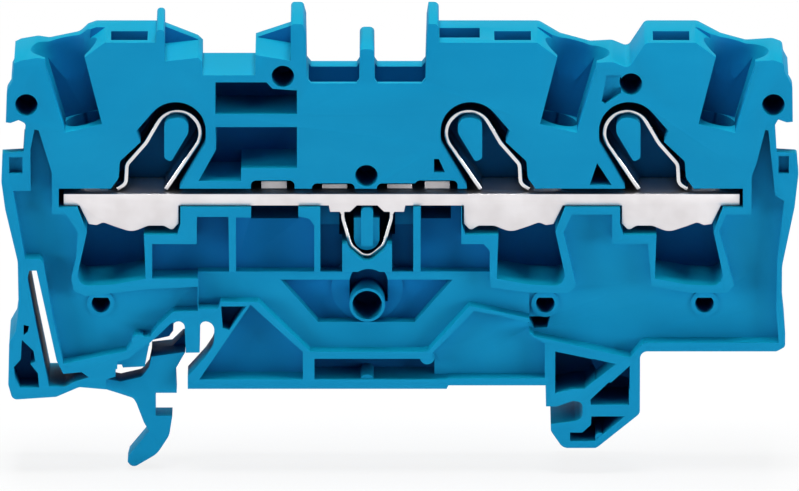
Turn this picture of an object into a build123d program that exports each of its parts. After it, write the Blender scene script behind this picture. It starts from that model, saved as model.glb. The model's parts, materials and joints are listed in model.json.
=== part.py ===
import os
from math import atan2, cos, hypot, radians, sin, tan

from build123d import *

# A feed-through terminal block for a 35 mm top-hat rail, lying open side to -Y. Millimetres throughout.
# X runs along the block, Z up from the rail's upper edge, and y = 0 is the middle of its thickness.

# Block
depth = 6.2
back_wall = 1.0
length_left = 30.2
length_right = 35.3
panel_top = 31.55
finger_top = 33.15
middle_finger_top = 31.0
rail_half = 17.5
rail_play = 0.12
foot_right = rail_half + 4.85
wedge_left = -16.75
wedge_ridge = 1.2
groove_left = -13.65
groove_right = -9.3
groove_z = 28.75
finger_left = -6.4
finger_edge = 28.05
small_finger_top = 32.65

# Current bar
bar_z = 17.4
bar_thick = 1.0
bar_left = -25.1
bar_right = 30.5
bar_front = 0.4
bar_width = 4.5
tab_thick = 0.8
bar_fit = 0.04

# Clamp stations
clamp_pitch = 13.0
station_2 = 7.8
station_1 = -15.65
spring_1 = station_1 + 0.35
spring_thick = 0.33
spring_front = 1.0
spring_width = 3.8
spring_fit = 0.05
head_radius = 1.85
head = (0.4, 23.45)
lean = radians(33.7)
fall = radians(30.0)
wire_radius = 1.65

# Jumper spring
jumper_x = -0.15
jumper_thick = 0.28
jumper_front = 0.8
jumper_width = 3.6
jumper_half = 2.0
jumper_drop = 4.3
jumper_play = 0.1
jumper_floor = 23.2
jumper_wall = 0.5
jumper_slot = 4.15
jumper_pitch = 5.44
jumper_long = 4.16

# Bar pads and the open gap over the bar
pad_front = 1.85
pad_tall = 0.65
pad_low = 0.4
gap_depth = 1.6

# Top slots
slot_front = 0.75
slot_width = 2.45
test_x = 7.45
test_length = 3.3
test_front = 1.45
test_back = 4.1
arm_width = 2.2
arm_deep = 5.2

# Round features
pin_radius = 0.93
peg_radius = 0.86
peg_height = 0.9
pin_depth = 4.0
d_radius = 0.77
d_flat = 0.52
d_boss = 1.15
boss_rise = 0.15
tube_z = 8.6
tube_outer = 1.46
tube_bore = 1.23
tube_front = 1.0
disc_z = 9.7
disc_radius = 2.95
disc_rise = 0.2
post_front = 0.9
rib_front = 0.35
bump_radius = 0.6
bump_front = 0.1

# Depths of the hollows behind the front plane
deep = depth - back_wall
cell_floor = 2.4
band_floor = 1.3
side_floor = 1.5
side_deep = 2.6
low_floor = 2.1
foot_floor = 4.6
web_floor = 2.5
rib_floor = 3.4
shallow = 0.65
well_floor = 3.8
lip_depth = 1.0
ear_depth = 1.5
arch_depth = 2.8
root = 0.2
funnel_floor = 4.3
flare_radius = 2.9
hook_front = 1.2

bar_top = bar_z + bar_thick
half = depth / 2
wire_y = bar_front + bar_width / 2 - half


def corners(points):
    """Closed outline from corners (x, z) or (x, z, radius); a radius too large for its sides is eased."""
    count = len(points)
    bends = []
    for i, point in enumerate(points):
        x, z = point[0], point[1]
        before = points[i - 1]
        after = points[(i + 1) % count]
        ax, az = before[0] - x, before[1] - z
        bx, bz = after[0] - x, after[1] - z
        la, lb = hypot(ax, az), hypot(bx, bz)
        ax, az, bx, bz = ax / la, az / la, bx / lb, bz / lb
        turn = abs(atan2(ax * bz - az * bx, ax * bx + az * bz))
        radius = point[2] if len(point) > 2 else 0
        bends.append((x, z, ax, az, bx, bz, turn, radius / tan(turn / 2), lb))
    ends = []
    for i, (x, z, ax, az, bx, bz, turn, cut, length) in enumerate(bends):
        before = bends[i - 1]
        after = bends[(i + 1) % count]
        share = min(1, before[8] / max(before[7] + cut, 1e-9), length / max(cut + after[7], 1e-9))
        if cut <= 0:
            ends.append(((x, z), None, (x, z)))
            continue
        cut *= share
        radius = cut * tan(turn / 2)
        out = radius / sin(turn / 2) - radius
        mx, mz = ax + bx, az + bz
        lm = hypot(mx, mz)
        mid = (x + mx / lm * out, z + mz / lm * out)
        ends.append(((x + ax * cut, z + az * cut), mid, (x + bx * cut, z + bz * cut)))
    edges = []
    for i, (start, mid, end) in enumerate(ends):
        if mid is not None:
            edges.append(ThreePointArc(start, mid, end))
        following = ends[(i + 1) % count][0]
        if hypot(following[0] - end[0], following[1] - end[1]) > 1e-4:
            edges.append(Line(end, following))
    return make_face(Wire(edges))


def ribbon(points, thick):
    """Outline of a strip with a centreline through corners (x, z) or (x, z, radius)."""
    sides = ([], [])
    last = len(points) - 1
    for side, out in ((1, sides[0]), (-1, sides[1])):
        reach = side * thick / 2
        for i, point in enumerate(points):
            x, z = point[0], point[1]
            before = points[max(i - 1, 0)]
            after = points[min(i + 1, last)]
            if i == 0:
                before = (2 * x - after[0], 2 * z - after[1])
            if i == last:
                after = (2 * x - before[0], 2 * z - before[1])
            la = hypot(x - before[0], z - before[1])
            lb = hypot(after[0] - x, after[1] - z)
            nax, naz = -(z - before[1]) / la, (x - before[0]) / la
            nbx, nbz = -(after[1] - z) / lb, (after[0] - x) / lb
            share = reach / (1 + nax * nbx + naz * nbz)
            place = (x + (nax + nbx) * share, z + (naz + nbz) * share)
            if i in (0, last):
                out.append(place)
                continue
            left_turn = nax * nbz - naz * nbx > 0
            radius = point[2] - reach if left_turn else point[2] + reach
            out.append((*place, radius))
    return corners(sides[0] + sides[1][::-1])


def prism(sketch, start, end):
    """Solid of an XZ outline between two depths behind the front plane."""
    return extrude(Plane.XZ.offset(half - start) * sketch, amount=start - end)


def block(x0, x1, z0, z1, start, end):
    """Plain block by its X and Z limits and its two depths."""
    outline = Pos((x0 + x1) / 2, (z0 + z1) / 2) * Rectangle(x1 - x0, z1 - z0)
    return prism(outline, start, end)


def rod(x, z, radius, start, end):
    """Round bar along Y."""
    return prism(Pos(x, z) * Circle(radius), start, end)


def placed(points, x0, sign):
    """Outline points of a clamp station moved to its place."""
    moved = [(x0 + sign * p[0], *p[1:]) for p in points]
    return moved if sign > 0 else moved[::-1]


# Metal pieces

def clamp_path(end_gap):
    """Centreline of a clamp spring: foot, back leg, head, front leg, kinked toe."""
    hx, hz = head
    top = hz + head_radius
    foot = bar_top + end_gap + spring_thick / 2
    back_x = hx - head_radius * cos(lean)
    back_z = hz - head_radius * sin(lean)
    run = sin(lean) / cos(lean)
    front_x = hx + head_radius * cos(fall)
    front_z = hz + head_radius * sin(fall)
    slope = sin(fall) / cos(fall)
    knee = 22.6
    return [
        (back_x + (back_z - foot) * run, foot),
        (back_x - (top - back_z) * run, top, head_radius),
        (front_x - (top - front_z) * slope, top, head_radius),
        (front_x + (front_z - knee) * slope, knee, 2.5),
        (4.6, 20.75, 0.8),
        (4.68, 19.1, 0.7),
        (5.4, foot),
    ]


def clamp_spring(x0, sign):
    """Bent leaf spring standing on the bar."""
    path = placed(clamp_path(spring_fit), x0, sign)
    return prism(ribbon(path, spring_thick), spring_front, spring_front + spring_width)


def jumper_path():
    """Centreline of the U-shaped jumper spring."""
    top = bar_z - bar_fit
    low = bar_z - jumper_drop
    x = jumper_x
    return [
        (x - jumper_half, top),
        (x - jumper_half, top - 1.2, 1.5),
        (x - 1.35, low + 0.75, 0.9),
        (x, low - 0.45, 0.9),
        (x + 1.35, low + 0.75, 0.9),
        (x + jumper_half, top - 1.2, 1.5),
        (x + jumper_half, top),
    ]


def jumper_spring():
    """U-shaped strip under the bar between the jumper tabs."""
    return prism(ribbon(jumper_path(), jumper_thick), jumper_front, jumper_front + jumper_width)


def tab_outline(grow):
    """Scalloped cheek bent down from the bar under a clamp."""
    low = bar_z
    return [
        (-grow, low + grow),
        (-grow, 15.85 - grow),
        (0.55, 15.25 - grow, 0.3),
        (1.2, 15.65 - grow, 0.6),
        (2.5, 15.65 - grow, 0.9),
        (3.85, 15.1 - grow, 1.5),
        (5.3, 15.6 - grow, 1.2),
        (6.2, 15.95 - grow, 0.5),
        (6.75, 15.7 - grow, 0.4),
        (7.4 + grow, 15.8 - grow),
        (8.15 + grow, low + grow),
    ]


def jumper_tab(sign, grow):
    """Small tongue under the bar beside the jumper spring."""
    points = [
        (0.85 - grow, bar_z + grow),
        (1.4 - grow, 16.85 - grow, 0.2),
        (1.85, 16.85 - grow),
        (2.0, 16.35 - grow, 0.15),
        (2.25, 16.85 - grow),
        (3.05 + grow, 16.85 - grow),
        (3.15 + grow, bar_z + grow),
    ]
    return corners(placed(points, jumper_x, sign))


def bar_pads():
    """Raised pads on the bar: X limits and height of each."""
    return (
        (-8.85, -6.75, pad_tall),
        (-3.85, -1.8, pad_low),
        (1.5, 3.55, pad_low),
        (4.6, 6.65, pad_tall),
    )


def current_bar():
    """One stamped strip with windows, clamp cheeks, jumper tongues and raised pads."""
    end = bar_front + bar_width
    bar = block(bar_left, bar_right, bar_z, bar_top, bar_front, end)
    for x0, x1, tall in bar_pads():
        bar += block(x0, x1, bar_top, bar_top + tall, pad_front, end - 0.6)
    for x0, sign in stations():
        cheek = corners(placed(tab_outline(0), x0, sign))
        bar += prism(cheek, bar_front, bar_front + tab_thick)
        bar += prism(cheek, end - tab_thick, end)
        near = x0 + sign * 5.75
        far = x0 + sign * 7.75
        middle = bar_front + bar_width / 2
        reach = bar_width / 2 - tab_thick - 0.15
        bar -= block(min(near, far), max(near, far), bar_z, bar_top, middle - reach, middle + reach)
    for sign in (1, -1):
        tongue = jumper_tab(sign, 0)
        bar += prism(tongue, bar_front, jumper_front - jumper_play)
        bar += prism(tongue, jumper_front + jumper_width + jumper_play, end)
    return bar


def stations():
    """Clamp stations: X of the local origin and its hand."""
    return ((station_1, -1), (station_2, 1), (station_2 + clamp_pitch, 1))


def spring_places():
    """Places of the clamp springs: X of the local origin and its hand."""
    return ((spring_1, -1), (station_2, 1), (station_2 + clamp_pitch, 1))


# Housing outline

def housing_outline():
    """Outline of the moulding seen from the open side, without the release arm."""
    left = -length_left
    right = length_right
    last = station_2 + clamp_pitch
    rail = rail_half
    catch = -rail_half
    return [
        (-28.35, 22.15),
        (-28.15, 24.6, 0.4),
        (-28.75, 24.9),
        (-29.4, 24.65),
        (-29.8, 24.7),
        (-29.7, 27.4, 1.0),
        (-29.2, 28.2, 1.0),
        (-29.1, 29.75),
        (-28.6, 30.0, 0.5),
        (-27.2, 30.25, 0.8),
        (-26.3, 30.1, 0.8),
        (-23.75, 30.65, 1.0),
        (-23.1, 31.3, 0.5),
        (-22.4, panel_top, 0.5),
        (wedge_left - 0.7, panel_top),
        (wedge_left - 0.65, small_finger_top, 0.3),
        (wedge_left, small_finger_top, 0.3),
        (wedge_left, 31.4),
        (groove_left - 0.4, 30.3, 0.3),
        (groove_left, 29.9),
        (groove_left, groove_z),
        (groove_right, groove_z),
        (groove_right, 30.45),
        (finger_left, 31.45),
        (finger_left, finger_top, 0.3),
        (finger_left + 1.0, finger_top, 0.3),
        (finger_left + 1.25, 32.2),
        (finger_left + 1.3, finger_edge + 0.45),
        (finger_left + 1.65, finger_edge),
        (jumper_x - 0.85, finger_edge),
        (jumper_x - 0.62, finger_edge + 0.35),
        (jumper_x - 0.6, middle_finger_top, 0.4),
        (jumper_x + 0.6, middle_finger_top, 0.4),
        (jumper_x + 0.62, finger_edge + 0.35),
        (jumper_x + 0.85, finger_edge),
        (4.35, finger_edge),
        (4.65, finger_edge + 0.4),
        (4.75, finger_top - 1.0),
        (4.9, finger_top),
        (5.75, finger_top, 0.4),
        (5.75, panel_top),
        (station_2 + 6.2, panel_top, 0.8),
        (station_2 + 7.9, 30.5, 0.8),
        (station_2 + 10.4, 29.8, 0.8),
        (station_2 + 12.2, 29.9, 0.8),
        (station_2 + 13.5, 29.35, 0.5),
        (station_2 + 14.3, 30.6, 1.5),
        (station_2 + 14.9, panel_top, 0.5),
        (last + 6.2, panel_top, 0.8),
        (last + 8.1, 30.5, 0.8),
        (last + 10.2, 29.9, 0.8),
        (33.2, 30.05, 0.8),
        (34.0, 29.75, 0.4),
        (34.1, 29.0, 0.8),
        (34.75, 27.8, 0.8),
        (34.8, 24.75),
        (34.3, 24.7, 0.4),
        (33.6, 24.95),
        (33.35, 24.5),
        (33.5, 22.15),
        (right - 0.15, 22.05, 0.2),
        (right, 20.3, 3.0),
        (35.0, 17.4, 3.0),
        (34.0, 12.3, 4.0),
        (34.0, 9.3, 4.0),
        (34.3, 6.5, 1.0),
        (34.3, 5.3, 0.4),
        (33.6, 4.9, 0.4),
        (foot_right, 4.9, 0.6),
        (foot_right, -0.5, 0.6),
        (rail + 1.45, -3.35, 0.5),
        (rail + 1.2, -3.5, 0.4),
        (rail - 1.5, -3.5, 0.8),
        (rail - 2.5, -2.0, 0.5),
        (rail - 2.5, -1.45),
        (rail - 0.5, -1.15, 0.5),
        (rail + rail_play, -0.9, 0.5),
        (rail + rail_play, 0.5, 0.5),
        (rail - 0.7, 0.6, 0.5),
        (rail - 2.0, rail_play, 0.5),
        (rail - 2.9, rail_play),
        (rail - 2.9, 1.95),
        (6.55, 1.95),
        (6.4, 1.65),
        (catch + 2.55, 1.65),
        (catch + 2.55, 2.7),
        (catch + 4.0, 4.35, 2.0),
        (catch + 4.75, 5.5, 1.5),
        (catch + 4.75, 7.5, 0.8),
        (catch + 3.6, 7.5, 0.5),
        (catch + 3.55, 4.8),
        (catch + 2.4, 4.78),
        (catch + 2.3, 7.5, 0.5),
        (catch + 1.3, 7.5, 0.5),
        (catch + 1.35, 5.9),
        (catch + 1.0, 5.4),
        (catch - 0.65, 5.0),
        (catch - 1.0, 3.2),
        (catch - 2.8, 3.1),
        (catch - 2.9, 3.36),
        (catch - 3.4, 3.36),
        (catch - 3.4, 2.7),
        (catch - 4.2, 2.45),
        (catch - 4.2, 1.6),
        (left + 6.3, 1.8, 0.5),
        (left + 4.4, 0.95, 0.5),
        (left + 0.8, 0.7, 0.5),
        (left + 0.45, 2.0, 0.8),
        (left + 0.55, 5.6, 0.5),
        (left + 1.1, 6.6, 0.5),
        (-28.85, 8.5, 2.0),
        (-28.9, 12.7, 2.0),
        (-29.9, 17.2, 3.0),
        (left, 19.6, 2.0),
        (left + 0.1, 22.05),
    ]


def foot_gap():
    """Gap between the springy left foot and the body."""
    return corners([
        (-27.95, 11.9),
        (-27.35, 11.9),
        (-25.75, 4.1, 1.0),
        (-25.2, 2.95),
        (-23.7, 3.1),
        (-23.1, 2.65),
        (-24.3, 2.25, 0.8),
        (-25.0, 1.85, 0.5),
        (-26.4, 1.85),
        (-26.8, 4.0, 1.0),
        (-27.4, 7.1, 4.0),
        (-28.1, 11.2),
    ])


def release_arm():
    """Release arm with its hook, thinner than the block and set back from the front."""
    catch = -rail_half
    hook = [
        (catch - 5.1, 2.3),
        (catch - 3.0, 1.88),
        (catch - 1.25, 2.3, 0.5),
        (catch - 0.65, 3.1),
        (catch - 0.45, 4.05),
        (catch + 2.35, 4.45),
        (catch + 1.55, 3.0),
        (catch + 1.63, 0.9),
        (catch - rail_play, 0.9),
        (catch - rail_play, -1.1),
        (catch + 1.26, -1.1),
        (catch + 1.0, -2.8, 1.5),
        (catch, -4.4, 2.0),
        (catch - 2.05, -5.65, 0.5),
        (catch - 2.45, -5.1),
        (catch - 2.3, -4.5),
        (catch - 0.65, -2.45),
        (catch - 1.1, -1.65, 1.0),
        (catch - 1.7, 0.0, 0.8),
        (catch - 1.95, 0.45, 0.5),
        (catch - 3.4, 0.95),
        (catch - 5.1, 1.5),
    ]
    pad = [
        (catch - 0.5, 2.8),
        (catch - 0.45, 4.05),
        (catch + 1.25, 4.25),
        (catch + 2.15, 5.15),
        (catch + 2.4, 5.15),
        (catch + 2.4, 4.3),
        (catch + 1.5, 3.0),
    ]
    arm = prism(corners(hook), hook_front, hook_front + arm_width)
    return arm + prism(corners(pad), hook_front + arm_width, arm_deep)


def spring_pocket():
    """Outline of a clamp spring's hollow in station coordinates, its top an arch around the head."""
    return [
        (-0.1, bar_top - 0.5),
        (0.25, 19.0),
        (-1.9, 22.9, 0.8),
        (-1.95, 26.45, 2.5),
        (1.7, 26.45, 2.5),
        (3.8, 23.95),
        (3.45, 23.0),
        (5.15, 21.35, 0.5),
        (5.25, 19.9, 0.8),
        (5.9, 19.0),
        (5.9, bar_top - 0.5),
    ]


def spring_post():
    """Drop-shaped post the clamp spring bends around."""
    return [
        (-0.5, 23.8, 1.0),
        (-0.45, 25.1, 0.9),
        (1.5, 25.1, 0.9),
        (1.5, 21.6, 0.3),
        (0.95, 21.3, 0.25),
    ]


def chamber():
    """Outline of a conductor chamber under the bar in station coordinates."""
    return [
        (-0.15, bar_z + 0.4),
        (-0.15, 15.85),
        (0.1, 15.0),
        (2.85, 15.0),
        (2.72, 11.2),
        (5.4, 10.7, 1.5),
        (8.55, 10.55, 0.9),
        (7.55, 15.2),
        (8.5, bar_z + 0.4),
    ]


def funnel():
    """Outline of a conductor funnel in station coordinates."""
    return [
        (6.25, 24.55),
        (9.3, 23.8),
        (10.85, 29.35),
        (11.3, panel_top + 3),
        (5.6, panel_top + 3),
        (6.0, panel_top),
        (7.65, 30.3),
    ]


def flare(x0, sign):
    """Round widening at the mouth of a conductor funnel."""
    low = (x0 + sign * 8.4, wire_y, 26.7)
    high = (x0 + sign * 9.5, wire_y, 31.2)
    run = (high[0] - low[0], 0, high[2] - low[2])
    base = Plane(origin=low, z_dir=run)
    return loft([base * Circle(wire_radius), base.offset(hypot(run[0], run[2])) * Circle(flare_radius)])


def wire_way(x0, sign):
    """Slanted round way from the funnel down to the bar."""
    top = (x0 + sign * 7.85, wire_y, 24.9)
    low = (x0 + sign * 6.7, wire_y, bar_top)
    run = (top[0] - low[0], 0, top[2] - low[2])
    length = hypot(run[0], run[2])
    return extrude(Plane(origin=low, z_dir=run) * Circle(wire_radius), amount=length)


def left_floor():
    """Outline of the large recess at the left end."""
    catch = -rail_half
    return corners([
        (-27.8, 18.8),
        (-27.8, 22.3),
        (-27.45, 24.1),
        (-27.1, 24.0),
        (-26.05, 20.4),
        (-26.05, 16.8),
        (-24.9, 16.75),
        (-23.95, 15.2, 0.5),
        (-24.1, 12.9, 1.0),
        (-24.5, 11.2, 0.8),
        (-24.3, 10.1, 0.5),
        (-23.2, 9.7, 0.5),
        (-18.3, 10.3),
        (-14.1, 10.5),
        (-14.1, 8.4),
        (catch + 1.4, 8.35, 0.8),
        (catch + 0.15, 7.1, 0.5),
        (catch - 0.5, 6.2),
        (catch - 1.7, 6.1),
        (catch - 2.5, 4.9),
        (catch - 4.6, 4.5),
        (-25.2, 3.8),
        (-26.0, 7.5, 2.0),
        (-26.8, 12.6, 0.5),
        (-27.1, 12.9),
        (-28.3, 12.9),
        (-28.7, 15.4, 1.0),
        (-29.25, 18.8),
    ])


def right_floor():
    """Outline of the large recess at the right end."""
    return corners([
        (13.2, 10.0),
        (16.5, 9.95, 0.8),
        (17.05, 10.6, 0.5),
        (16.0, 15.2),
        (16.7, 16.75),
        (20.0, 16.75),
        (20.0, 14.2),
        (22.95, 14.2),
        (23.25, 10.55),
        (26.4, 10.0, 0.8),
        (29.5, 9.95, 0.5),
        (30.05, 10.6),
        (28.8, 15.3),
        (29.4, 16.75),
        (31.45, 16.75),
        (31.45, 20.1, 0.5),
        (31.8, 21.0),
        (32.55, 24.05),
        (32.8, 24.0),
        (33.3, 19.3),
        (33.4, 18.4),
        (34.15, 17.9),
        (33.6, 12.5, 2.0),
        (33.55, 8.4, 1.0),
        (33.75, 5.65),
        (foot_right + 0.25, 5.65, 0.8),
        (foot_right - 0.8, 4.35),
        (foot_right - 3.35, 4.95),
        (13.6, 6.2),
        (13.2, 6.6),
    ])


def left_cells():
    """Recesses between the left clamp and the centre: outline and depth of each."""
    low = 11.4
    step = 15.25
    return [
        (corners([(-17.85, 14.2), (-14.1, 14.2), (-14.1, 11.2), (-17.85, 11.2)]), cell_floor),
        (corners([(-14.15, 16.55), (-11.55, 16.55), (-11.5, low), (-14.2, low)]), cell_floor),
        (corners([(-10.95, 16.5), (-9.7, 16.5), (-9.7, bar_z), (-5.8, bar_z), (-5.8, 16.6),
                  (-4.9, 16.4, 0.5), (-4.5, 15.8), (-4.5, low), (-10.95, low)]), cell_floor),
        (corners([(-9.7, bar_z), (-5.8, bar_z), (-5.8, 15.65), (-9.7, 15.65)]), deep),
        (corners([(-4.0, bar_z), (-2.2, bar_z), (-2.2, step), (-4.0, step)]), low_floor),
        (corners([(-4.0, step), (-2.2, step), (-2.2, low), (-4.0, low)]), cell_floor + 0.2),
        (corners([(1.9, bar_z), (3.65, bar_z), (3.65, step), (1.9, step)]), low_floor),
        (corners([(1.9, step), (3.65, step), (3.65, low), (1.9, low)]), cell_floor + 0.2),
    ]


def right_cells():
    """Recesses between the centre and the middle clamp: outline and depth of each."""
    return [
        (corners([(4.25, bar_z), (7.6, bar_z), (7.6, 14.2), (9.45, 14.2), (9.95, 13.6),
                  (9.95, 11.4), (4.25, 11.4)]), cell_floor),
        (corners([(4.3, bar_z), (6.75, bar_z), (6.75, 15.65), (4.3, 15.65)]), deep),
    ]


def lower_cells():
    """Recesses of the lower middle: outline and depth of each."""
    rail = rail_half
    catch = -rail_half
    return [
        (corners([(-14.05, 11.15), (-14.2, 11.8), (9.9, 11.8), (10.05, 10.45), (13.25, 10.0), (13.25, 7.75),
                  (8.3, 8.85), (4.85, 4.87), (-4.85, 4.87), (-9.12, 9.2),
                  (-12.2, 9.2), (-12.4, 8.6), (-14.05, 8.6)]), band_floor),
        (corners([(-7.3, 10.7), (6.9, 10.7), (3.8, 7.03), (-4.2, 7.03)]), web_floor),
        (corners([(-12.2, 8.8), (-10.1, 8.8), (-11.5, 6.75), (-12.05, 6.9)]), low_floor),
        (corners([(-9.75, 8.95), (-5.45, 4.85), (-5.45, 2.45), (-14.0, 2.45)]), low_floor),
        (corners([(-4.5, 4.26), (5.4, 4.26), (5.4, 2.45), (-4.5, 2.45)]), rib_floor),
        (corners([(8.65, 8.4), (10.8, 8.0), (13.2, 7.3), (13.2, 6.3), (rail - 3.0, 5.6), (rail - 3.0, 2.55),
                  (6.6, 2.55), (6.4, 2.45), (5.2, 2.45), (5.2, 4.75)]), band_floor + 0.2),
        (corners([(rail - 4.4, 7.45), (rail - 2.55, 7.45), (rail - 2.8, 6.5),
                  (rail - 3.9, 6.45)]), foot_floor),
        (corners([(catch - 3.25, 4.0), (catch - 2.3, 4.3), (catch - 1.5, 5.0), (catch - 0.8, 5.55),
                  (catch - 0.6, 5.4), (catch - 0.6, 4.9), (catch - 0.9, 3.0),
                  (catch - 3.25, 3.0)]), hook_front),
        (corners([(catch + 1.4, 7.4), (catch + 1.15, 7.3), (catch + 0.05, 6.2), (catch - 0.6, 5.6),
                  (catch - 0.6, 4.9), (catch + 1.5, 4.9)]), web_floor),
    ]


def foot_cells():
    """Recesses of the two feet: outline and depth of each."""
    rail = rail_half
    return [
        (corners([(rail - 2.15, 4.9), (rail + 1.05, 4.2), (rail + 0.85, 3.2), (rail + 1.25, 2.5),
                  (rail + 0.3, 1.65), (rail - 0.8, 1.6), (rail - 2.15, 1.25)]), foot_floor),
        (corners([(rail + 1.0, 4.25), (rail + 2.85, 3.8), (rail + 1.2, 2.4),
                  (rail + 0.8, 3.2)]), side_deep),
        (corners([(rail + 0.75, 0.7), (rail + 2.25, 2.2), (rail + 2.6, 2.2), (rail + 3.95, 1.75),
                  (rail + 3.95, 0.25), (rail + 0.8, 0.25)]), foot_floor),
        (corners([(rail + 2.2, 1.95), (rail + 4.0, 3.65), (rail + 4.0, 1.6)]), side_deep),
        (corners([(rail + 0.85, -0.75), (rail + 3.6, -0.75), (rail + 1.15, -2.9), (rail - 0.9, -2.9),
                  (rail - 0.9, -2.15), (rail + 0.1, -2.15), (rail + 0.8, -1.5)]), foot_floor),
        (corners([(-28.6, 5.9), (-27.65, 4.95), (-27.5, 4.0), (-27.9, 3.8), (-27.3, 3.0),
                  (-27.2, 1.75), (-28.8, 1.75), (-29.2, 2.6), (-29.3, 3.5), (-28.7, 4.2)]), side_deep),
        (corners([(-28.45, 7.2), (-28.0, 7.1), (-28.1, 6.6), (-28.45, 6.3)]), low_floor),
    ]


def top_cells():
    """Recesses above the bar in the middle and at the ends: outline and depth of each."""
    return [
        (corners([(-12.6, 28.15), (-8.4, 28.15), (-7.9, 27.6), (-5.9, 27.45),
                  (-5.9, 25.4), (-12.6, 25.4)]), deep),
        (corners([(-12.6, 24.3), (-5.9, 24.3), (-5.9, 20.75), (-10.5, 20.75), (-10.5, 19.65),
                  (-14.0, 19.65), (-12.55, 22.35)]), deep),
        (corners([(5.35, 21.55), (5.75, 21.55), (6.25, 20.4), (5.35, 20.4)]), foot_floor),
        (corners([(18.75, 21.2), (19.95, 19.3), (18.15, 19.3)]), foot_floor),
        (corners([(19.5, 28.75), (19.1, 26.5), (19.4, 26.3), (20.7, 27.2), (20.7, 28.75)]), shallow),
        (corners([(33.65, 21.8), (34.5, 21.8), (34.5, 20.3), (33.65, 20.3)]), shallow),
        (corners([(-29.55, 21.7), (-28.45, 21.7), (-28.45, 20.3), (-29.55, 20.3)]), shallow),
    ]


def top_slots():
    """Cuts open to the top: operating slots, test slot and jumper pockets."""
    top = panel_top + 1
    cuts = []
    for x0, sign in stations():
        near, far = x0 + sign * 2.5, x0 + sign * 5.5
        cuts.append(block(min(near, far), max(near, far), 25.9, top, slot_front, slot_front + slot_width))
    cuts.append(block(test_x - test_length / 2, test_x + test_length / 2, 27.0, top, test_front, test_back))
    for side in (-1, 1):
        centre = jumper_x + side * jumper_pitch / 2
        near, far = centre - jumper_long / 2, centre + jumper_long / 2
        cuts.append(block(near, far, jumper_floor, finger_edge + 1, jumper_wall, jumper_wall + jumper_slot))
    return cuts


def top_reliefs():
    """Parts of the outline that are only as deep as the ridges, ears, jaws and arch there."""
    ridge = depth - wedge_ridge
    back = depth + 1
    catch = -rail_half
    left = -length_left
    right = length_right
    left_wedge = [(wedge_left, 29.95), (groove_left, 30.3), (groove_left, 32), (wedge_left, 32)]
    right_wedge = [(groove_right, 30.5), (finger_left, 30.0), (finger_left, 32), (groove_right, 32)]
    arch = [
        (catch + 2.5, 1.5),
        (catch + 3.9, 1.5),
        (catch + 5.2, 3.9),
        (catch + 5.55, 5.6),
        (catch + 5.4, 6.9),
        (catch + 4.7, 7.3),
        (catch + 4.75, 5.5),
        (catch + 4.0, 4.35),
        (catch + 2.5, 2.7),
    ]
    return [
        prism(corners(left_wedge), -1, ridge),
        prism(corners(right_wedge), -1, ridge),
        block(left - 1, left + 1.8, 19.5, 23, lip_depth, back),
        block(right - 1.8, right + 1, 19.5, 23, lip_depth, back),
        block(left - 1, left + 0.85, 24, 29, ear_depth, back),
        block(right - 0.85, right + 1, 24, 29, ear_depth, back),
        prism(corners(arch), arch_depth, back),
        block(catch + 2.3, catch + 3.65, 4.7, 7.4, arch_depth, back),
    ]


def pin_places():
    """Centres of the pin holes in the front."""
    return ((-28.1, 26.2), (-7.05, 28.65), (-0.2, 20.1), (21.5, 28.0), (33.2, 26.2))


def housing():
    """The one-piece moulding with both rail feet."""
    body = prism(corners(housing_outline()), 0, depth)
    body -= prism(foot_gap(), -1, depth + 1)
    cuts = top_reliefs()
    for x0, sign in stations():
        cuts.append(prism(corners(placed(chamber(), x0, sign)), 0, deep))
        cuts.append(prism(corners(placed(funnel(), x0, sign)), -1, funnel_floor))
        cuts.append(flare(x0, sign))
        cuts.append(wire_way(x0, sign))
    for outline, floor in left_cells() + right_cells() + lower_cells() + foot_cells() + top_cells():
        cuts.append(prism(outline, -1, floor))
    cuts.append(prism(left_floor(), -1, side_floor))
    cuts.append(prism(right_floor(), -1, side_floor))
    body -= cuts
    for x0, sign in spring_places():
        body -= prism(corners(placed(spring_pocket(), x0, sign)), -1, deep)
        body += prism(corners(placed(spring_post(), x0, sign)), 0, deep + root)
    body -= top_slots()
    body = centre_forms(body)
    body += bumps()
    body += release_arm()
    body -= metal_seats()
    for x, z in d_places():
        body -= d_hole(x, z)
    for x, z in pin_places():
        body -= rod(x, z, pin_radius, -1, pin_depth)
        body += rod(x, z, peg_radius, depth - root, depth + peg_height)
    return body


def centre_forms(body):
    """Body with the jumper spring's hollow and post, and the tube in its well."""
    x = jumper_x
    low = bar_z - jumper_drop
    side = jumper_half + 0.3
    hollow = corners([
        (x - side, bar_z),
        (x - side, 14.2),
        (x - 1.45, 14.2),
        (x - 1.35, low + 0.75, 0.9),
        (x, low - 0.45, 0.9),
        (x + 1.35, low + 0.75, 0.9),
        (x + 1.45, 14.2),
        (x + side, 14.2),
        (x + side, bar_z),
    ])
    wide = corners([(x - 1.08, 16.2), (x - 1.08, 13.4, 1.05), (x + 1.02, 13.4, 1.05), (x + 1.02, 16.2)])
    tall = corners([(x - 0.5, 17.25, 0.45), (x - 0.5, 13.9), (x + 0.5, 13.9), (x + 0.5, 17.25, 0.45)])
    well = corners([(x - 1.45, 8.5), (x - 1.45, 12.05, 1.55), (x + 1.7, 12.05, 1.55), (x + 1.7, 8.5)])
    body -= prism(hollow, -1, deep)
    body += [prism(wide, post_front, deep + root), prism(tall, rib_front, deep + root)]
    body += rod(x, disc_z, disc_radius, web_floor - disc_rise, web_floor + root)
    body -= prism(well, -1, well_floor)
    body += rod(x, tube_z, tube_outer, tube_front, deep + root)
    return body - rod(x, tube_z, tube_bore, -1, deep)


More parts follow.
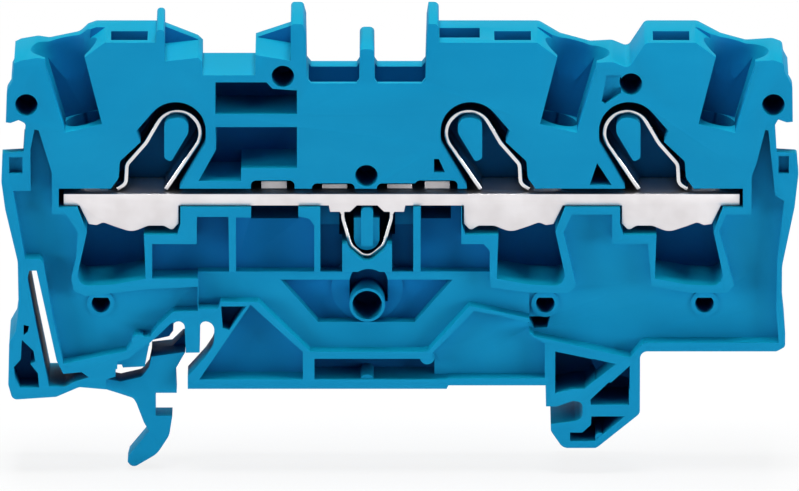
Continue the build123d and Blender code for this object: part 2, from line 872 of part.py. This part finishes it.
def bumps():
    """Small round bumps on the ribs and the flat bosses of the D-shaped holes."""
    parts = [
        rod(jumper_x, 2.2, bump_radius, 3 * bump_front, rib_floor + root),
        rod(4.8, 4.35, bump_radius, bump_front, rib_floor + root),
        rod(rail_half + 1.6, -2.65, 0.42, bump_front, foot_floor + root),
        rod(-rail_half - 1.45, 5.75, bump_radius, 0, 3.0),
    ]
    for x, z in d_places():
        parts.append(rod(x, z, d_boss, side_floor - boss_rise, side_floor + root))
    return parts


def d_hole(x, z):
    """Round hole with a flat top."""
    return rod(x, z, d_radius, -1, foot_floor) - block(x - 1, x + 1, z + d_flat, z + 1, -1, foot_floor)


def d_places():
    """Centres of the D-shaped holes in the side recesses."""
    return ((-22.1, 8.6), (14.53, 8.6), (27.65, 8.6))


def metal_seats():
    """Seats of the bar, its cheeks, tongues and pads and of the springs."""
    end = bar_front + bar_width + bar_fit
    cuts = [
        block(bar_left - 0.4, bar_right + 0.25, bar_z - bar_fit, bar_top + bar_fit, -1, end),
        block(bar_left - 0.4, bar_right + 0.25, bar_top, bar_top + 0.6, -1, gap_depth),
    ]
    for x0, x1, tall in bar_pads():
        top = bar_top + tall + 0.65
        notch = [(x0 - 0.85, bar_top), (x0 - 0.85, top, 0.45), (x1 + 0.65, top, 0.45), (x1 + 0.65, bar_top)]
        cuts.append(prism(corners(notch), -1, end))
    for x0, sign in stations():
        cuts.append(prism(corners(placed(tab_outline(bar_fit), x0, sign)), -1, end))
    for x0, sign in spring_places():
        seat = ribbon(placed(clamp_path(spring_fit), x0, sign), spring_thick + 2 * spring_fit)
        cuts.append(prism(seat, -1, spring_front + spring_width + spring_fit))
    seat = ribbon(jumper_path(), jumper_thick + 2 * spring_fit)
    cuts.append(prism(seat, -1, jumper_front + jumper_width + spring_fit))
    for sign in (1, -1):
        cuts.append(prism(jumper_tab(sign, bar_fit), -1, end))
    return cuts


if __name__ == "__main__":
    os.makedirs("parts", exist_ok=True)
    export_step(housing(), "parts/housing.step")
    export_step(current_bar(), "parts/current_bar.step")
    export_step(jumper_spring(), "parts/jumper_spring.step")
    for (x0, sign), name in zip(spring_places(), ("left", "middle", "right")):
        export_step(clamp_spring(x0, sign), f"parts/clamp_spring_{name}.step")
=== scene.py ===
"""Looks of the feed-through terminal block: soft-edged mouldings, metal strips, studio and camera."""

import json
import logging
import math
from dataclasses import dataclass, field
from enum import Enum

import bmesh
import bpy
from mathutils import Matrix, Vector

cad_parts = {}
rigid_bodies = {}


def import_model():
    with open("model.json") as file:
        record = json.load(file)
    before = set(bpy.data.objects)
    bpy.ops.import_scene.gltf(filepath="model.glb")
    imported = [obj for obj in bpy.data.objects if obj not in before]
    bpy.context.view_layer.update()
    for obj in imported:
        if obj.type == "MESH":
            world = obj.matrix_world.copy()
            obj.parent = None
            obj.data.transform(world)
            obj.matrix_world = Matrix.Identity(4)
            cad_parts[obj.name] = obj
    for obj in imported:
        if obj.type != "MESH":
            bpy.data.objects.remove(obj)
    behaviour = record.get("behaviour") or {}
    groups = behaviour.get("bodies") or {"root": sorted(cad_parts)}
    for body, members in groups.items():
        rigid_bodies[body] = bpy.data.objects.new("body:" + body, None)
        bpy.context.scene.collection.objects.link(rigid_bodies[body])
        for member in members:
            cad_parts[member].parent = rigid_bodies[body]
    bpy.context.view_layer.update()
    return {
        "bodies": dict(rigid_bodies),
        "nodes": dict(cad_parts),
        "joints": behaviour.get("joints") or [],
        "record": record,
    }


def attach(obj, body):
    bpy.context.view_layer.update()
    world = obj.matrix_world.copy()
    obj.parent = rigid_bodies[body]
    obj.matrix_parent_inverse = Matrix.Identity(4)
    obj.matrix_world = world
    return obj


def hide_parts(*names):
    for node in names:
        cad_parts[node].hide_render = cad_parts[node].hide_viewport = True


logging.basicConfig(level=logging.INFO, format="%(levelname)s %(message)s")
log = logging.getLogger("terminal_block")

MM = 0.001
# samples and closed openness of the painted hollow shade
HOLLOW_SAMPLES = 6
HOLLOW_CLOSED = 0.05


class Finish(Enum):
    """Finishes that the block's pieces can have."""

    POLYAMIDE = "blue_polyamide"
    TIN = "tinned_copper"
    SPRING = "spring_steel"


def add_node(tree: bpy.types.NodeTree, kind: str, **inputs: object) -> bpy.types.Node:
    """Adds a shader node and sets its plain inputs.

    Args:
        tree: Node tree to add to.
        kind: Blender's node type name.
        inputs: Socket values by socket name, with spaces written as underscores.

    Returns:
        The new node.
    """
    node = tree.nodes.new(kind)
    for name, value in inputs.items():
        node.inputs[name.replace("_", " ")].default_value = value
    return node


def object_coords(tree: bpy.types.NodeTree, stretch: tuple[float, float, float]) -> bpy.types.NodeSocket:
    """Gives object coordinates stretched by a factor along each axis.

    Args:
        tree: Node tree to add to.
        stretch: Scale along X, Y and Z.

    Returns:
        The vector socket.
    """
    coords = tree.nodes.new("ShaderNodeTexCoord")
    mapping = tree.nodes.new("ShaderNodeMapping")
    mapping.inputs["Scale"].default_value = stretch
    tree.links.new(coords.outputs["Object"], mapping.inputs["Vector"])
    return mapping.outputs["Vector"]


def blend(
    tree: bpy.types.NodeTree,
    share: bpy.types.NodeSocket,
    tone: bpy.types.NodeSocket,
    other: tuple[float, float, float],
) -> bpy.types.NodeSocket:
    """Blends a colour towards a fixed one.

    Args:
        tree: Node tree to add to.
        share: How much of the fixed colour, from 0 to 1.
        tone: Colour to start from.
        other: The fixed colour.

    Returns:
        The colour socket.
    """
    mix = tree.nodes.new("ShaderNodeMix")
    mix.data_type = "RGBA"
    mix.inputs[7].default_value = (*other, 1)
    tree.links.new(share, mix.inputs[0])
    tree.links.new(tone, mix.inputs[6])
    return mix.outputs[2]


def spread(
    tree: bpy.types.NodeTree, value: bpy.types.NodeSocket, span: tuple[float, float], most: float
) -> bpy.types.NodeSocket:
    """Maps a span of a value smoothly to 0 up to a most.

    Args:
        tree: Node tree to add to.
        value: The value.
        span: Where the result is 0 and where it reaches the most.
        most: The largest result.

    Returns:
        The value socket.
    """
    step = add_node(tree, "ShaderNodeMapRange")
    step.interpolation_type = "SMOOTHSTEP"
    step.inputs["From Min"].default_value = span[0]
    step.inputs["From Max"].default_value = span[1]
    step.inputs["To Max"].default_value = most
    tree.links.new(value, step.inputs["Value"])
    return step.outputs["Result"]


def along(tree: bpy.types.NodeTree, source: str, axis: str) -> bpy.types.NodeSocket:
    """Gives one axis of the object's own coordinates or normals.

    Args:
        tree: Node tree to add to.
        source: "Object" or "Normal".
        axis: "X", "Y" or "Z".

    Returns:
        The value socket.
    """
    coords = tree.nodes.new("ShaderNodeTexCoord")
    split = tree.nodes.new("ShaderNodeSeparateXYZ")
    tree.links.new(coords.outputs[source], split.inputs[0])
    return split.outputs[axis]


def recess_shade(
    tree: bpy.types.NodeTree,
    tone: bpy.types.NodeSocket,
    dark: tuple[float, float, float],
    reach: float,
    full: float,
) -> bpy.types.NodeSocket:
    """Paints shade into a colour in narrow hollows of the piece itself, darker where walls stand close.

    Args:
        tree: Node tree to add to.
        tone: Colour of the open surface.
        dark: Painted shade colour at the bottom of the narrowest hollows.
        reach: How far walls count, in metres.
        full: Openness from which the colour is the plain one.

    Returns:
        The colour socket.
    """
    hollow = add_node(tree, "ShaderNodeAmbientOcclusion", Distance=reach)
    hollow.samples = HOLLOW_SAMPLES
    return blend(tree, spread(tree, hollow.outputs["AO"], (full, HOLLOW_CLOSED), 1.0), tone, dark)


def plain_bump(
    tree: bpy.types.NodeTree, height: bpy.types.NodeSocket, strength: float, deep: float
) -> bpy.types.NodeSocket:
    """Turns a pattern into a slight unevenness.

    Args:
        tree: Node tree to add to.
        height: The pattern.
        strength: Share of the unevenness that shows.
        deep: Its depth in metres.

    Returns:
        The normal socket.
    """
    bump = add_node(tree, "ShaderNodeBump", Strength=strength, Distance=deep)
    tree.links.new(height, bump.inputs["Height"])
    return bump.outputs["Normal"]


def mottle(
    tree: bpy.types.NodeTree,
    pattern: bpy.types.NodeSocket,
    low: tuple[float, float, float],
    high: tuple[float, float, float],
    edge: float,
) -> bpy.types.NodeSocket:
    """Runs a pattern between two colours.

    Args:
        tree: Node tree to add to.
        pattern: The pattern, from 0 to 1.
        low: Colour at its low end.
        high: Colour at its high end.
        edge: How far from each end the run starts.

    Returns:
        The colour socket.
    """
    tint = tree.nodes.new("ShaderNodeValToRGB")
    first, last = tint.color_ramp.elements
    first.position, first.color = edge, (*low, 1)
    last.position, last.color = 1.0 - edge, (*high, 1)
    tree.links.new(pattern, tint.inputs["Fac"])
    return tint.outputs["Color"]


@dataclass(frozen=True)
class MouldedPlastic:
    """Satin moulded polyamide with faint flow marks and a fine grain.

    The colour runs between base and pale in flow marks. Painted light makes faces that look up lighter
    and more cyan, painted shade darkens the deeper floors of the open side, and more painted shade
    darkens narrow hollows.
    """

    name: str = "satin blue polyamide"
    base: tuple[float, float, float] = (0.003, 0.240, 0.470)
    pale: tuple[float, float, float] = (0.005, 0.268, 0.505)
    # painted light: lighter, more cyan colour for faces that look up
    painted_top_light: tuple[float, float, float] = (0.001, 0.305, 0.480)
    # painted shade: darker colour for floors that face the open side and sit deep
    painted_floor_shade: tuple[float, float, float] = (0.001, 0.118, 0.370)
    # painted shade: colour at the bottom of the narrowest hollows
    deep: tuple[float, float, float] = (0.001, 0.030, 0.120)
    # depths over which the painted floor shade grows, and its largest share
    painted_floor_shade_from: float = -1.5 * MM
    painted_floor_shade_to: float = -0.6 * MM
    painted_floor_shade_share: float = 0.75
    # reach and openness of the painted hollow shade
    hollow_reach: float = 4.5 * MM
    hollow_full: float = 0.48
    roughness: float = 0.6
    gloss: float = 0.06
    grain: float = 0.05
    grain_depth: float = 0.03 * MM

    def material(self) -> bpy.types.Material:
        """Builds the material.

        Returns:
            The finished material.
        """
        made = bpy.data.materials.new(self.name)
        made.use_nodes = True
        tree = made.node_tree
        shader = tree.nodes["Principled BSDF"]
        shader.inputs["Roughness"].default_value = self.roughness
        shader.inputs["IOR"].default_value = 1.5
        shader.inputs["Specular IOR Level"].default_value = self.gloss
        flow = add_node(tree, "ShaderNodeTexNoise", Scale=1.0, Detail=3.0, Roughness=0.55)
        tree.links.new(object_coords(tree, (90.0, 90.0, 220.0)), flow.inputs["Vector"])
        tone = mottle(tree, flow.outputs["Fac"], self.base, self.pale, 0.3)
        tone = self.paint_top_light_and_floor_shade(tree, tone)
        # painted shade darkens the colour in narrow hollows
        shaded = recess_shade(tree, tone, self.deep, self.hollow_reach, self.hollow_full)
        tree.links.new(shaded, shader.inputs["Base Color"])
        grain = add_node(tree, "ShaderNodeTexNoise", Scale=2600.0, Detail=2.0, Roughness=0.6)
        tree.links.new(object_coords(tree, (1.0, 1.0, 1.0)), grain.inputs["Vector"])
        uneven = plain_bump(tree, grain.outputs["Fac"], self.grain, self.grain_depth)
        tree.links.new(uneven, shader.inputs["Normal"])
        return made

    def paint_top_light_and_floor_shade(self, tree: bpy.types.NodeTree, tone: bpy.types.NodeSocket) -> bpy.types.NodeSocket:
        """Paints light onto the faces that look up and shade onto the deeper floors of the open side.

        Args:
            tree: Node tree to add to.
            tone: The plain colour.

        Returns:
            The colour socket.
        """
        # painted light: the more a face looks up, the more of the lighter top colour it takes
        painted_top_light_share = spread(tree, along(tree, "Normal", "Z"), (0.15, 0.95), 1.0)
        tone = blend(tree, painted_top_light_share, tone, self.painted_top_light)
        # painted shade: floors facing the open side darken the deeper they sit, up to a fixed share
        open_side = spread(tree, along(tree, "Normal", "Y"), (-0.5, -0.95), 1.0)
        depth = spread(tree, along(tree, "Object", "Y"), (self.painted_floor_shade_from, self.painted_floor_shade_to), self.painted_floor_shade_share)
        floor = tree.nodes.new("ShaderNodeMath")
        floor.operation = "MULTIPLY"
        tree.links.new(open_side, floor.inputs[0])
        tree.links.new(depth, floor.inputs[1])
        return blend(tree, floor.outputs[0], tone, self.painted_floor_shade)


@dataclass(frozen=True)
class RolledStrip:
    """Metal strip with a fine rolled or plated surface, and painted shade in its narrow hollows."""

    name: str
    base: tuple[float, float, float]
    worn: tuple[float, float, float]
    roughness: float
    # painted shade: colour at the bottom of the strip's narrowest hollows
    deep: tuple[float, float, float] = (0.06, 0.045, 0.042)
    hollow_reach: float = 2.0 * MM
    hollow_full: float = 0.6
    metallic: float = 1.0
    grain: float = 0.15
    grain_depth: float = 0.02 * MM
    stretch: tuple[float, float, float] = (300.0, 3000.0, 3000.0)

    def material(self) -> bpy.types.Material:
        """Builds the material.

        Returns:
            The finished material.
        """
        made = bpy.data.materials.new(self.name)
        made.use_nodes = True
        tree = made.node_tree
        shader = tree.nodes["Principled BSDF"]
        shader.inputs["Metallic"].default_value = self.metallic
        lines = add_node(tree, "ShaderNodeTexNoise", Scale=1.0, Detail=3.0, Roughness=0.6)
        tree.links.new(object_coords(tree, self.stretch), lines.inputs["Vector"])
        blotch = add_node(tree, "ShaderNodeTexNoise", Scale=420.0, Detail=2.0, Roughness=0.5)
        tree.links.new(object_coords(tree, (1.0, 1.0, 1.0)), blotch.inputs["Vector"])
        tone = mottle(tree, blotch.outputs["Fac"], self.worn, self.base, 0.35)
        # painted shade darkens narrow hollows of the strip
        shaded = recess_shade(tree, tone, self.deep, self.hollow_reach, self.hollow_full)
        tree.links.new(shaded, shader.inputs["Base Color"])
        gloss = add_node(tree, "ShaderNodeMapRange")
        gloss.inputs["To Min"].default_value = self.roughness * 0.8
        gloss.inputs["To Max"].default_value = self.roughness * 1.25
        tree.links.new(lines.outputs["Fac"], gloss.inputs["Value"])
        tree.links.new(gloss.outputs["Result"], shader.inputs["Roughness"])
        uneven = plain_bump(tree, lines.outputs["Fac"], self.grain, self.grain_depth)
        tree.links.new(uneven, shader.inputs["Normal"])
        return made


@dataclass(frozen=True)
class Flash:
    """A hair-thin fin on a moulding: where it stands, how far it reaches and where it starts."""

    x: float
    z: float
    reach: float
    start: float = -0.3 * MM

    def holds(self, point: Vector) -> bool:
        """Tells whether a point belongs to the fin."""
        past = point.y > self.start + 0.1 * MM
        return past and abs(point.x - self.x) < self.reach and abs(point.z - self.z) < self.reach


@dataclass
class SoftEdged:
    """A piece shown as its solid with the small edge rounds of a real one."""

    node: str
    finish: Finish
    edge: float = 0.10 * MM
    segments: int = 2
    crease: float = 28.0
    smooth: float = 35.0
    merge: float = 0.002 * MM
    flat: float = 0.6
    flash: tuple[Flash, ...] = ()

    def build(self, frame: dict, materials: dict[Finish, bpy.types.Material]) -> bpy.types.Object:
        """Copies the solid, rounds its sharp edges and dresses it.

        Args:
            materials: Material of each finish.

        Returns:
            The new piece.
        """
        source = frame["nodes"][self.node]
        mesh = source.data.copy()
        piece = bpy.data.objects.new(f"{self.node}_shown", mesh)
        bpy.context.scene.collection.objects.link(piece)
        work = bmesh.new()
        work.from_mesh(mesh)
        bmesh.ops.remove_doubles(work, verts=work.verts, dist=self.merge)
        self.trim(work)
        bmesh.ops.dissolve_limit(
            work,
            angle_limit=math.radians(self.flat),
            verts=work.verts,
            edges=work.edges,
            use_dissolve_boundaries=False,
        )
        work.to_mesh(mesh)
        work.free()
        bpy.ops.object.select_all(action="DESELECT")
        piece.select_set(True)
        bpy.context.view_layer.objects.active = piece
        bevel = piece.modifiers.new("edge round", "BEVEL")
        bevel.width = self.edge
        bevel.segments = self.segments
        bevel.limit_method = "ANGLE"
        bevel.angle_limit = math.radians(self.crease)
        bevel.use_clamp_overlap = True
        bevel.harden_normals = False
        bpy.ops.object.modifier_apply(modifier=bevel.name)
        bpy.ops.object.shade_smooth_by_angle(angle=math.radians(self.smooth))
        mesh.materials.clear()
        mesh.materials.append(materials[self.finish])
        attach(piece, "root")
        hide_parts(self.node)
        log.info("%s: %d faces", piece.name, len(mesh.polygons))
        return piece

    def trim(self, work: bmesh.types.BMesh) -> None:
        """Takes off hair-thin flash at the given places and closes the skin again.

        Args:
            work: The piece's mesh.
        """
        for fin in self.flash:
            thin = [v for v in work.verts if fin.holds(v.co)]
            faces = list({face for v in thin for face in v.link_faces})
            edges = list({edge for face in faces for edge in face.edges})
            bmesh.ops.bisect_plane(
                work,
                geom=[*faces, *edges, *{v for edge in edges for v in edge.verts}],
                dist=0.001 * MM,
                plane_co=(0, fin.start, 0),
                plane_no=(0, 1, 0),
            )
            bmesh.ops.delete(work, geom=thin, context="VERTS")
            rims = [edge for edge in work.edges if edge.is_boundary]
            bmesh.ops.holes_fill(work, edges=rims, sides=0)
            log.info("%s: %d points of a thin fin trimmed off", self.node, len(thin))


@dataclass(frozen=True)
class Lamp:
    """A square area lamp: its name, place in metres, power in watts and side."""

    name: str
    place: tuple[float, float, float]
    power: float
    size: float = 0.22

    def build(self, target: Vector) -> None:
        """Adds the lamp.

        Args:
            target: What it is aimed at.
        """
        data = bpy.data.lights.new(self.name, "AREA")
        data.size = self.size
        data.energy = self.power
        lamp = bpy.data.objects.new(self.name, data)
        bpy.context.scene.collection.objects.link(lamp)
        lamp.location = self.place
        aim = target - Vector(self.place)
        lamp.rotation_euler = aim.to_track_quat("-Z", "Y").to_euler()


@dataclass
class Studio:
    """Pale floor, white surroundings, lamps and camera."""

    target: Vector = field(default_factory=lambda: Vector((0.002517, -0.0031, 0.01408)))
    distance: float = 1.5
    elevation: float = 18.0
    pixels_per_mm: float = 12.157
    wide: int = 799
    floor_z: float = -0.0058
    floor_tone: float = 0.85
    floor_white: float = 0.85
    floor_wide: float = 6.0
    sky: float = 0.02
    sensor: float = 36.0
    lamps: tuple[Lamp, ...] = (
        Lamp("left", (-0.474, -0.274, 0.062), 1.65),
        Lamp("right", (0.474, -0.274, 0.062), 1.80),
        Lamp("overhead", (0.0, -0.02, 0.56), 3.0),
        Lamp("behind", (0.0, 0.275, 0.49), 0.7),
    )

    def build(self) -> None:
        """Adds the floor, world, lamps and camera."""
        self.add_floor()
        self.add_world()
        for lamp in self.lamps:
            lamp.build(self.target)
        self.add_camera()

    def add_floor(self) -> None:
        """Adds a plain pale floor that shows nearly white to the camera."""
        bpy.ops.object.select_all(action="DESELECT")
        bpy.ops.mesh.primitive_plane_add(size=self.floor_wide, location=(0, 0, self.floor_z))
        floor = bpy.context.object
        floor.name = "floor"
        made = bpy.data.materials.new("plain pale floor")
        made.use_nodes = True
        tree = made.node_tree
        shader = tree.nodes["Principled BSDF"]
        shader.inputs["Base Color"].default_value = (self.floor_tone, self.floor_tone, self.floor_tone, 1)
        shader.inputs["Roughness"].default_value = 0.9
        self.show_white(tree, shader)
        floor.data.materials.append(made)

    def show_white(self, tree: bpy.types.NodeTree, shader: bpy.types.Node) -> None:
        """Makes a floor material nearly white to the camera and in reflections, with soft shadows.

        Args:
            tree: The floor's node tree.
            shader: Its surface shader.
        """
        glow = add_node(tree, "ShaderNodeEmission", Color=(1, 1, 1, 1), Strength=1.0)
        share = tree.nodes.new("ShaderNodeMath")
        share.operation = "MULTIPLY"
        share.inputs[1].default_value = self.floor_white
        tree.links.new(self.seen_directly(tree), share.inputs[0])
        mix = tree.nodes.new("ShaderNodeMixShader")
        tree.links.new(share.outputs[0], mix.inputs[0])
        tree.links.new(shader.outputs[0], mix.inputs[1])
        tree.links.new(glow.outputs[0], mix.inputs[2])
        tree.links.new(mix.outputs[0], tree.nodes["Material Output"].inputs["Surface"])

    def seen_directly(self, tree: bpy.types.NodeTree) -> bpy.types.NodeSocket:
        """Gives 1 for camera, glossy and transmission rays and 0 for the rest.

        Args:
            tree: Node tree to add to.

        Returns:
            The value socket.
        """
        path = tree.nodes.new("ShaderNodeLightPath")
        mirrored = tree.nodes.new("ShaderNodeMath")
        mirrored.operation = "MAXIMUM"
        tree.links.new(path.outputs["Is Glossy Ray"], mirrored.inputs[0])
        tree.links.new(path.outputs["Is Transmission Ray"], mirrored.inputs[1])
        seen = tree.nodes.new("ShaderNodeMath")
        seen.operation = "MAXIMUM"
        tree.links.new(path.outputs["Is Camera Ray"], seen.inputs[0])
        tree.links.new(mirrored.outputs[0], seen.inputs[1])
        return seen.outputs[0]

    def add_world(self) -> None:
        """Adds a soft grey sky that shows white to the camera."""
        world = bpy.data.worlds.new("studio")
        bpy.context.scene.world = world
        world.use_nodes = True
        tree = world.node_tree
        back = tree.nodes["Background"]
        back.inputs["Color"].default_value = (1, 1, 1, 1)
        back.inputs["Strength"].default_value = self.sky
        white = add_node(tree, "ShaderNodeBackground", Color=(1, 1, 1, 1), Strength=1.0)
        mix = tree.nodes.new("ShaderNodeMixShader")
        tree.links.new(self.seen_directly(tree), mix.inputs[0])
        tree.links.new(back.outputs[0], mix.inputs[1])
        tree.links.new(white.outputs[0], mix.inputs[2])
        tree.links.new(mix.outputs[0], tree.nodes["World Output"].inputs["Surface"])

    def add_camera(self) -> None:
        """Adds the camera at the photograph's angle and framing."""
        data = bpy.data.cameras.new("camera")
        cam = bpy.data.objects.new("camera", data)
        bpy.context.scene.collection.objects.link(cam)
        rise = math.radians(self.elevation)
        back = Vector((0, -math.cos(rise), math.sin(rise)))
        cam.location = self.target + back * self.distance
        cam.rotation_euler = (math.radians(90.0 - self.elevation), 0, 0)
        data.sensor_fit = "HORIZONTAL"
        data.sensor_width = self.sensor
        shown = self.wide / self.pixels_per_mm * MM
        data.lens = data.sensor_width * self.distance / shown
        data.clip_start = 0.01
        data.clip_end = 20.0
        bpy.context.scene.camera = cam


def finishes() -> dict[Finish, bpy.types.Material]:
    """Builds the material of each finish.

    Returns:
        Materials by finish.
    """
    tin = RolledStrip("satin tin plating", (0.80, 0.775, 0.79), (0.72, 0.69, 0.70), 0.38)
    steel = RolledStrip("bright spring strip", (0.82, 0.82, 0.82), (0.74, 0.74, 0.75), 0.2)
    return {
        Finish.POLYAMIDE: MouldedPlastic().material(),
        Finish.TIN: tin.material(),
        Finish.SPRING: steel.material(),
    }


def main() -> None:
    """Builds every piece, the studio and the camera."""
    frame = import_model()
    bpy.context.scene.view_settings.view_transform = "Standard"
    materials = finishes()
    pieces = [
        SoftEdged(
            "housing",
            Finish.POLYAMIDE,
            flash=(
                Flash(-13.49 * MM, 4.37 * MM, 0.16 * MM),
                Flash(-12.87 * MM, 5.45 * MM, 0.36 * MM),
            ),
        ),
        SoftEdged("current_bar", Finish.TIN, edge=0.07 * MM),
        SoftEdged("clamp_spring_left", Finish.SPRING, edge=0.05 * MM),
        SoftEdged("clamp_spring_middle", Finish.SPRING, edge=0.05 * MM),
        SoftEdged("clamp_spring_right", Finish.SPRING, edge=0.05 * MM),
        SoftEdged("jumper_spring", Finish.SPRING, edge=0.04 * MM),
    ]
    for piece in pieces:
        piece.build(frame, materials)
    Studio().build()


if __name__ == "__main__":
    main()
